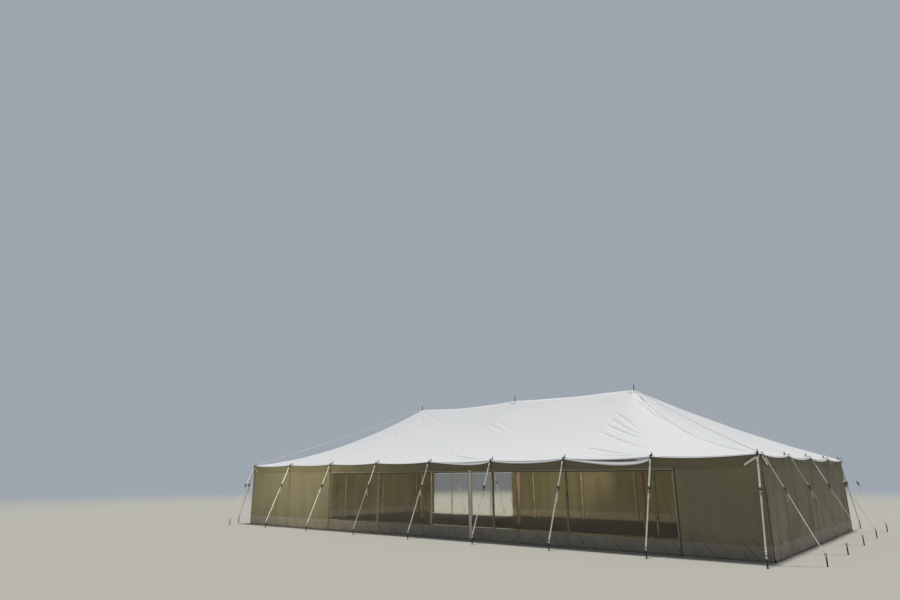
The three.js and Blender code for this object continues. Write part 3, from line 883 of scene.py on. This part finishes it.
def clear_shape(side, window):
    left, bottom, right, top = window
    width, height = right - left + 2 * WINDOW_LAP, top - bottom + 2 * WINDOW_LAP
    shape, along, up = flat_cloth(
        left - WINDOW_LAP, bottom - WINDOW_LAP, right + WINDOW_LAP, top + WINDOW_LAP,
        (round(width / CLEAR_STEP), round(height / CLEAR_STEP)),
    )
    edge = np.minimum(np.minimum(along - left, right - along), np.minimum(up - bottom, top - up))
    free = ease(edge / 0.3)
    wave = 0.004 * np.sin(4.1 * along + 1.7 * up) + 0.003 * np.sin(7.7 * along - 3.1 * up)
    out = wall_out(along, up) * (1 - 0.5 * free) + 0.5 * free * WALL_OUT - 0.005 + wave * free
    return hang_cloth(shape, side, np.maximum(out, 0.036), up)


def clear_material():
    material, tree, shader = new_material("clear_sheet")
    place, _, _ = cloth_place(tree)
    ripples, haze = noise(tree, place, 2.2, 2), noise(tree, place, 9, 4)
    feed(shader, {
        "Base Color": (0.90, 0.885, 0.80, 1),
        "Roughness": remap(tree, haze, 0.3, 0.8, 0.02, 0.10),
        "IOR": 1.3,
        "Transmission Weight": 1.0,
        "Normal": bump(tree, ripples, 0.002, 0.3),
    })
    return material


clear_sheet = clear_material()
for part in ("left", "right"):
    node = "front_window_clear_" + part
    window = window_of(node, "front")
    shape = clear_shape("front", window)
    clear = place_piece(node + "_sheet", shape, clear_sheet, "clear_sheet", node, thickness=CLEAR_THICKNESS)
    size = (window[3] - window[1] + 2 * WINDOW_LAP, window[2] - window[0] + 2 * WINDOW_LAP)

BAND_WIDTH = 0.10
window_left = span_of("front_window_wall_left", "front")
window_right = span_of("front_window_wall_right", "front")
for name, side, middle, width, material in (
    ("front_window_join_band", "front", window_left[1], BAND_WIDTH, band_canvas),
    ("front_left_join_strip", "front", window_left[0], JOIN_STRIP, join_shadow_canvas),
    ("front_right_join_strip", "front", window_right[1], JOIN_STRIP, join_shadow_canvas),
    ("back_join_strip", "back", -BAY, JOIN_STRIP, join_shadow_canvas),
):
    left, right = middle - width / 2, middle + width / 2
    shape = curtain(side, left, 0.015, right, WALL_HEIGHT, (4, WALL_ROWS), proud=BAND_PROUD)
    band = place_piece(name, shape, material, "wall_canvas", thickness=0.002)

# Centre poles
# Three round stained timber poles carry the ridge. Each stands on a turned steel foot and ends in
# a steel ferrule with a pin, which passes through an eye in the canvas.
CENTRE_RADIUS = 0.06
CENTRE_FOOT = 0.08
CENTRE_TIP = PEAK + 0.17
FERRULE = 0.0575
CENTRE_PIN = 0.014
ROUND_STEPS = 32


def spun(shape, start, steps):
    """Sweeps corners and edges once round the upright axis."""
    bmesh.ops.spin(
        shape, geom=start, cent=(0, 0, 0), axis=(0, 0, 1), dvec=(0, 0, 0),
        angle=2 * math.pi, steps=steps, use_merge=True,
    )
    return shape


def turned(profile, place=(0, 0, 0), steps=ROUND_STEPS):
    """A round solid from pairs of radius and height, with both ends on its axis."""
    shape = bmesh.new()
    points = [shape.verts.new((radius, 0, height)) for radius, height in profile]
    lines = [shape.edges.new(pair) for pair in zip(points, points[1:])]
    spun(shape, [*points, *lines], steps)
    bmesh.ops.remove_doubles(shape, verts=shape.verts, dist=1e-5)
    bmesh.ops.translate(shape, vec=place, verts=shape.verts)
    return face_outward(shape)


def hard_piece(name, shape, material, slot, *nodes):
    """A piece of steel or timber: smooth on its round faces and crisp on its edges."""
    piece = place_piece(name, shape, material, slot, *nodes)
    piece.data.set_sharp_from_angle(angle=math.radians(35))
    return piece


def wear_group():
    """Where bare metal has dulled, and the grain of its skin."""
    tree, given, made = new_group("metal_wear", ["Scale"], ["Mask", "Grain"])
    place = add_node(tree, "TexCoord")["Object"]
    scale = given["Scale"]
    spots = noise(tree, place, scale, 6)
    grain = noise(tree, place, calc(tree, "MULTIPLY", scale, 9), 3)
    feed(made, {"Mask": remap(tree, spots, 0.5, 0.68), "Grain": grain})
    return tree


METAL_WEAR = wear_group()


def steel_material(name, color, dulled, roughness, scale=22, bare=0.9):
    """Bare or painted steel, duller where it has worn."""
    material, tree, shader = new_material(name)
    wear = use_group(tree, METAL_WEAR, {"Scale": scale})
    feed(shader, {
        "Base Color": mix_color(tree, wear["Mask"], color, dulled),
        "Metallic": remap(tree, wear["Mask"], 0, 1, bare, 0.25),
        "Roughness": remap(tree, wear["Mask"], 0, 1, roughness, roughness + 0.3),
        "Normal": bump(tree, wear["Grain"], 0.0003, 0.7),
    })
    return material


def timber_material():
    """Stained softwood with the grain running up the pole."""
    material, tree, shader = new_material("pole_timber")
    place = add_node(tree, "TexCoord")["Object"]
    lines = noise(tree, times(tree, place, (70, 70, 2.2)), 1, 5, 0.4)
    bands = noise(tree, times(tree, place, (14, 14, 0.5)), 1, 3, 1.2)
    mask = remap(tree, calc(tree, "ADD", lines, bands), 0.8, 1.25)
    feed(shader, {
        "Base Color": mix_color(tree, mask, (0.075, 0.055, 0.038, 1), (0.17, 0.125, 0.085, 1)),
        "Roughness": remap(tree, mask, 0, 1, 0.42, 0.6),
        "Normal": bump(tree, lines, 0.0005, 0.6),
    })
    return material


timber = timber_material()
dark_steel = steel_material("dark_steel", (0.09, 0.09, 0.092, 1), (0.06, 0.052, 0.045, 1), 0.38)
CENTRE_POLE = [
    (0, 0.014), (0.055, 0.014), (0.058, 0.03), (CENTRE_RADIUS, 0.6), (CENTRE_RADIUS, 3.3),
    (0.057, PEAK - 0.16), (FERRULE - 0.004, PEAK - 0.10), (0, PEAK - 0.10),
]
POLE_FOOT = [
    (0, 0), (CENTRE_FOOT - 0.002, 0), (CENTRE_FOOT, 0.002), (CENTRE_FOOT, 0.009),
    (CENTRE_FOOT - 0.003, 0.012), (0.068, 0.013), (0.066, 0.07), (0.0615, 0.074), (0.0585, 0.072),
    (0, 0.07),
]
POLE_HEAD = [
    (0, PEAK - 0.13), (FERRULE, PEAK - 0.13), (FERRULE, PEAK - 0.062), (FERRULE - 0.006, PEAK - 0.048),
    (0.024, PEAK - 0.034), (CENTRE_PIN, PEAK - 0.014), (CENTRE_PIN, CENTRE_TIP - 0.03),
    (CENTRE_PIN - 0.003, CENTRE_TIP - 0.008), (CENTRE_PIN - 0.008, CENTRE_TIP), (0, CENTRE_TIP),
]
for name, middle in (("left", -RIDGE_X), ("middle", 0), ("right", RIDGE_X)):
    for part, profile, material, slot in (
        ("timber_", CENTRE_POLE, timber, "timber"),
        ("foot_", POLE_FOOT, dark_steel, "pole_steel"),
        ("head_", POLE_HEAD, dark_steel, "pole_steel"),
    ):
        shape = turned(profile, (middle, 0, 0))
        hard_piece("centre_pole_" + part + name, shape, material, slot, "centre_pole_" + name)

# Side poles and guys
# A painted steel pole stands at each station under the eave, with a pin up through the canvas. A
# steel head plate on the pin takes a wide strap, a ratchet, a narrower strap and a driven stake.
SIDE_RADIUS = 0.030
SIDE_PIN = 0.009
SIDE_TIP = EAVE + 0.10
PLATE_TOP = EAVE + 0.026
STAKE_OUT = 0.95  # from the pole to the stake
STAKE_TOP = 0.225
LOOP_HEIGHT = 0.19
LAST_SPLAY = math.radians(9)  # the guys of the last pole of a long side lean to the right
NEXT_SPLAY = math.radians(5)  # and those of the pole before it
RATCHET_SHARE = 0.39  # of the way down the guy
GUY_TOP = Vector((0.092, 0, EAVE + 0.023))
GUY_FOOT = Vector((STAKE_OUT, 0, LOOP_HEIGHT))
GUY_LENGTH = (GUY_FOOT - GUY_TOP).length
DOWN = (GUY_FOOT - GUY_TOP).normalized()
OFF = DOWN.cross(Vector((0, 1, 0)))  # away from the tent and up, square to the guy
ALONG_GUY = Matrix((
    (DOWN.x, 0, OFF.x, GUY_TOP.x), (DOWN.y, 1, OFF.y, GUY_TOP.y),
    (DOWN.z, 0, OFF.z, GUY_TOP.z), (0, 0, 0, 1),
))
RATCHET_PLACE = RATCHET_SHARE * GUY_LENGTH
WIDE, NARROW, WEBBING = 0.039, 0.034, 0.0025
HOOK_LENGTH = 0.125


def stations():
    """Name, place and headings of the guys of every side pole."""
    for k in range(9):
        splay = {7: NEXT_SPLAY, 8: LAST_SPLAY}.get(k, 0)
        for side, facing in (("front", -1), ("back", 1)):
            headings = [facing * (math.pi / 2 - splay)]
            if k in (0, 8):
                headings.append(0 if k else math.pi)
            yield f"{side}_{k + 1}", (k * BAY - HALF_X, facing * HALF_Y), headings
    for k in (1, 2, 3):
        yield f"left_{k}", (-HALF_X, k * BAY - HALF_Y), [math.pi]
        yield f"right_{k}", (HALF_X, k * BAY - HALF_Y), [0]


def move(shape, matrix):
    bmesh.ops.transform(shape, matrix=matrix, verts=shape.verts)
    return shape


def block(shape, size, place, bevel, turn=0.0):
    """A box with softened edges, turned about the Y axis."""
    matrix = Matrix.Translation(place) @ Matrix.Rotation(turn, 4, "Y") @ Matrix.Diagonal((*size, 1))
    corners = bmesh.ops.create_cube(shape, size=1, matrix=matrix)["verts"]
    bmesh.ops.bevel(
        shape, geom=edges_of(corners), offset=bevel, segments=2, profile=0.5, affect="EDGES", material=-1,
    )


def bar_across(shape, place, radius, length, sides=16):
    """A round bar along the Y axis."""
    matrix = Matrix.Translation(place) @ Matrix.Rotation(math.pi / 2, 4, "X")
    bmesh.ops.create_cone(
        shape, cap_ends=True, segments=sides, radius1=radius, radius2=radius, depth=length, matrix=matrix,
    )


def joined(*shapes):
    whole = bmesh.new()
    for shape in shapes:
        mesh = bpy.data.meshes.new("part")
        shape.to_mesh(mesh)
        shape.free()
        whole.from_mesh(mesh)
        bpy.data.meshes.remove(mesh)
    return face_outward(whole)


def head_plate():
    """Plate and collar on the pin, and a flat hook whose bars take the webbing."""
    plate = bmesh.new()
    block(plate, (0.122, 0.050, 0.004), (0.034, 0, PLATE_TOP - 0.002), 0.0015)
    block(plate, (0.016, 0.046, 0.024), (0.090, 0, PLATE_TOP - 0.010), 0.002)
    collar = turned([
        (0, PLATE_TOP), (0.019, PLATE_TOP), (0.019, PLATE_TOP + 0.010), (0.0155, PLATE_TOP + 0.013),
        (0.0135, PLATE_TOP + 0.030), (0, PLATE_TOP + 0.032),
    ])
    hook = bmesh.new()
    block(hook, (HOOK_LENGTH - 0.02, 0.026, 0.005), (HOOK_LENGTH / 2 - 0.018, 0, 0), 0.002)
    bar_across(hook, (HOOK_LENGTH - 0.004, 0, 0), 0.0045, 0.060)
    bar_across(hook, (HOOK_LENGTH - 0.024, 0, 0), 0.0045, 0.052)
    for side in (-1, 1):
        block(hook, (0.026, 0.007, 0.008), (HOOK_LENGTH - 0.014, side * 0.0275, 0), 0.002)
    return joined(plate, collar, move(hook, ALONG_GUY))


def ratchet_shape():
    """Drawn at its own middle: X down the strap, Y across it and Z away from the tent."""
    shape = bmesh.new()
    for side in (-1, 1):
        block(shape, (0.118, 0.0026, 0.026), (0, side * 0.0285, -0.004), 0.001)
        block(shape, (0.086, 0.0026, 0.024), (-0.020, side * 0.0245, 0.009), 0.001, 0.12)
        block(shape, (0.010, 0.0026, 0.014), (0.046, side * 0.0285, 0.010), 0.001)
        bar_across(shape, (0.020, side * 0.0205, 0.003), 0.0165, 0.003, 22)
        bar_across(shape, (0.020, side * 0.0302, 0.003), 0.0075, 0.004, 6)
        bar_across(shape, (0.050, side * 0.0302, -0.004), 0.006, 0.004, 6)
    bar_across(shape, (0.020, 0, 0.003), 0.006, 0.060)
    bar_across(shape, (0.050, 0, -0.004), 0.004, 0.058)
    bar_across(shape, (-0.053, 0, -0.006), 0.004, 0.058)
    bar_across(shape, (-0.060, 0, 0.0135), 0.0075, 0.060, 20)
    block(shape, (0.050, 0.044, 0.002), (-0.030, 0, 0.020), 0.0006, 0.12)
    block(shape, (0.014, 0.052, 0.003), (-0.006, 0, 0.004), 0.001, 0.4)
    return face_outward(shape)


def webbing(start, end, width, twist=0.0, lift=0.0, bow=0.0, steps=24):
    """A flat strap between two places on the guy, measured down from its top."""
    shape, _, _ = flat_cloth(-width / 2, start, width / 2, end, (4, steps))
    for vert in shape.verts:
        across, down = vert.co.x, vert.co.y
        part = (down - start) / (end - start)
        angle = twist * math.sin(math.pi * part)
        height = lift + bow * math.sin(math.pi * part) + across * math.sin(angle)
        vert.co = ALONG_GUY @ Vector((down, across * math.cos(angle), height))
    return shape


def hanging_tail(length, curl):
    """The loose end below the ratchet, which turns to hang straight down."""
    steps = 14
    shape, _, _ = flat_cloth(-NARROW / 2, 0, NARROW / 2, length, (3, steps))
    place = ALONG_GUY @ Vector((RATCHET_PLACE + 0.055, 0, -0.016))
    heading = math.atan2(DOWN.z, DOWN.x)
    spine = [place.copy()]
    for k in range(steps):
        part = (k + 0.5) / steps
        angle = heading + (-math.pi / 2 - heading) * min(1, 3 * part) - curl * part * part
        spine.append(spine[-1] + Vector((math.cos(angle), 0, math.sin(angle))) * length / steps)
    for vert in shape.verts:
        step = round(vert.co.y / length * steps)
        vert.co = spine[step] + Vector((0, vert.co.x, 0))
    return shape


def stake_loop():
    """The narrow strap's end, wrapped twice round the stake."""
    wraps = []
    for low, radius in ((LOOP_HEIGHT - 0.026, 0.0195), (LOOP_HEIGHT - 0.006, 0.022)):
        shape = bmesh.new()
        bmesh.ops.create_circle(shape, segments=24, radius=radius)
        bmesh.ops.translate(shape, vec=(STAKE_OUT - 0.003, 0, low), verts=shape.verts)
        top, _ = grow(shape, shape.edges)
        bmesh.ops.translate(shape, vec=(0, 0, 0.026), verts=top)
        lay_flat(shape)
        wraps.append(shape)
    return wraps


def spool_wrap():
    shape = bmesh.new()
    bar_across(shape, (0.020, 0, 0.003), 0.0145, 0.036, 24)
    lay_flat(shape)
    return move(shape, ALONG_GUY @ Matrix.Translation((RATCHET_PLACE, 0, 0)))


def guy_strap(chance):
    top, bottom = HOOK_LENGTH - 0.014, GUY_LENGTH - 0.016
    above, below = RATCHET_PLACE - 0.048, RATCHET_PLACE + 0.046
    return joined(
        webbing(top, above, WIDE, chance.uniform(-0.25, 0.25), bow=-0.004),
        webbing(top, top + 0.11, WIDE - 0.002, lift=0.005, steps=6),
        webbing(above - 0.07, above, WIDE - 0.002, lift=0.004, steps=5),
        webbing(below, bottom, NARROW, chance.uniform(-0.5, 0.5), bow=-0.005, steps=30),
        webbing(bottom - 0.10, bottom, NARROW - 0.002, lift=0.004, steps=6),
        hanging_tail(chance.uniform(0.14, 0.26), chance.uniform(-0.4, 0.5)),
        spool_wrap(),
        *stake_loop(),
    )


def webbing_material():
    """Cream webbing: a fine weave, darker edges, and some soil."""
    material, tree, shader = new_material("strap_webbing")
    place, across, _ = cloth_place(tree)
    weather = use_group(tree, WEATHER, {"Vector": place, "Streaks": (60, 6, 1)})["Mask"]
    edge = remap(tree, calc(tree, "ABSOLUTE", across), 0.010, 0.026)
    edge_soil = calc(tree, "MULTIPLY", edge, 0.3)
    soil = calc(tree, "MULTIPLY_ADD", weather, 0.5, edge_soil)
    weave = use_group(tree, WEAVE, {"Vector": place, "Scale": 130})["Height"]
    feed(shader, {
        "Base Color": mix_color(tree, soil, (0.90, 0.86, 0.74, 1), (0.50, 0.46, 0.36, 1)),
        "Roughness": 0.72,
        "Normal": bump(tree, weave, 0.0005, 0.8),
        "Sheen Weight": 0.25,
    })
    return material


strap_webbing = webbing_material()
pole_paint = steel_material("side_pole_paint", (0.48, 0.44, 0.32, 1), (0.27, 0.23, 0.16, 1), 0.5, 9, 0.05)
zinc = steel_material("dull_zinc", (0.20, 0.19, 0.165, 1), (0.10, 0.092, 0.08, 1), 0.42, bare=0.6)
stake_steel = steel_material("stake_steel", (0.075, 0.07, 0.065, 1), (0.085, 0.05, 0.03, 1), 0.5)
SIDE_POLE = [
    (0, 0), (SIDE_RADIUS + 0.003, 0), (SIDE_RADIUS + 0.003, 0.03), (SIDE_RADIUS, 0.033),
    (SIDE_RADIUS, EAVE - 0.06), (SIDE_RADIUS - 0.002, EAVE - 0.045), (SIDE_RADIUS - 0.006, EAVE - 0.024),
    (SIDE_PIN + 0.004, EAVE - 0.018), (SIDE_PIN, EAVE - 0.010), (SIDE_PIN, SIDE_TIP - 0.022),
    (SIDE_PIN - 0.002, SIDE_TIP - 0.006), (SIDE_PIN - 0.006, SIDE_TIP), (0, SIDE_TIP),
]
STAKE = [
    (0, 0), (0.014, 0), (0.014, STAKE_TOP - 0.020), (0.020, STAKE_TOP - 0.014),
    (0.0215, STAKE_TOP - 0.006), (0.018, STAKE_TOP), (0, STAKE_TOP),
]
chance = random.Random(5)
for name, (x, y), headings in stations():
    node = "side_pole_and_guy_" + name
    hard_piece("side_pole_" + name, turned(SIDE_POLE, (x, y, 0), 20), pole_paint, "pole_steel", node)
    for letter, heading in zip("ab", headings):
        label = name + ("_" + letter if len(headings) > 1 else "")
        place = Matrix.Translation((x, y, 0)) @ Matrix.Rotation(heading, 4, "Z")
        hard_piece("guy_head_" + label, move(head_plate(), place), dark_steel, "ratchet_steel", node)
        strap = move(guy_strap(chance), place)
        place_piece("guy_strap_" + label, strap, strap_webbing, "strap", node, thickness=WEBBING)
        ratchet = move(ratchet_shape(), place @ ALONG_GUY @ Matrix.Translation((RATCHET_PLACE, 0, 0)))
        hard_piece("ratchet_" + label, ratchet, zinc, "ratchet_steel", node)
        stake = move(turned(STAKE, (STAKE_OUT, 0, 0), 20), place)
        hard_piece("stake_" + label, stake, stake_steel, "pole_steel", node)

# Hip ropes
# Light three strand ropes, taut from the pin of each end pole to the pins of the two corners. Each
# strand winds about the rope, and an eye takes the pin at both ends.
ROPE_RADIUS = 0.008
ROPE_DROP = 0.07  # of its middle below a straight line
ROPE_LAY = 0.075  # length of one full turn of a strand
ROPE_RINGS_PER_LAY = 8


def ring(radius, wire, matrix):
    """A ring of round wire about the Z axis, then moved by the matrix."""
    shape = bmesh.new()
    across = Matrix.Translation((radius, 0, 0)) @ Matrix.Rotation(math.pi / 2, 4, "X")
    loop = bmesh.ops.create_circle(shape, segments=10, radius=wire, matrix=across)["verts"]
    return move(spun(shape, [*loop, *edges_of(loop)], 28), matrix)


def twisted_rope(start, end):
    """A rope of three lobes, drawn ring by ring along its route and turned as it goes."""
    shape = bmesh.new()
    front = bmesh.ops.create_circle(shape, cap_ends=True, segments=9, radius=ROPE_RADIUS)["verts"]
    for vert in front[::3]:
        vert.co *= 0.78
    edges = edges_of(front)
    bend = (start + end) / 2 - Vector((0, 0, 2 * ROPE_DROP))
    count = round((end - start).length / ROPE_LAY * ROPE_RINGS_PER_LAY)
    facing = (end - start).to_track_quat("Z", "Y").to_matrix().to_4x4()
    before = Matrix.Identity(4)
    for k in range(count + 1):
        t = k / count
        place = start * (1 - t) ** 2 + bend * 2 * t * (1 - t) + end * t * t
        turn = Matrix.Rotation(2 * math.pi * k / ROPE_RINGS_PER_LAY, 4, "Z")
        after = Matrix.Translation(place) @ facing @ turn
        if k:
            front, edges = grow(shape, edges)
        bmesh.ops.transform(shape, matrix=after @ before.inverted(), verts=front)
        before = after
    bmesh.ops.contextual_create(shape, geom=edges)
    return face_outward(shape)


def rope_material():
    material, tree, shader = new_material("hip_rope")
    place = add_node(tree, "TexCoord")["Object"]
    soil, fibre = noise(tree, place, 5, 5), noise(tree, place, 700, 2)
    feed(shader, {
        "Base Color": mix_color(tree, soil, (0.86, 0.84, 0.76, 1), (0.60, 0.57, 0.49, 1)),
        "Roughness": 0.8,
        "Normal": bump(tree, fibre, 0.0006, 0.6),
    })
    return material


rope = rope_material()
for side_x, side in ((-1, "left"), (1, "right")):
    for side_y, face, level in ((-1, "front", 0), (1, "back", 0.016)):
        top = Vector((side_x * RIDGE_X, 0, PEAK + 0.045 + level))
        foot = Vector((side_x * HALF_X, side_y * HALF_Y, EAVE + 0.04))
        run = (foot - top).normalized()
        start, end = top + run * (CENTRE_PIN + 0.012), foot - run * (SIDE_PIN + 0.012)
        facing = run.to_track_quat("X", "Z").to_matrix().to_4x4()
        eyes = [
            ring(inner + 0.005, 0.0045, Matrix.Translation(place) @ facing)
            for place, inner in ((top, CENTRE_PIN), (foot, SIDE_PIN))
        ]
        name = f"hip_rope_{face}_{side}"
        shape = joined(twisted_rope(start, end), *eyes)
        place_piece(name + "_laid", shape, rope, "rope", name)
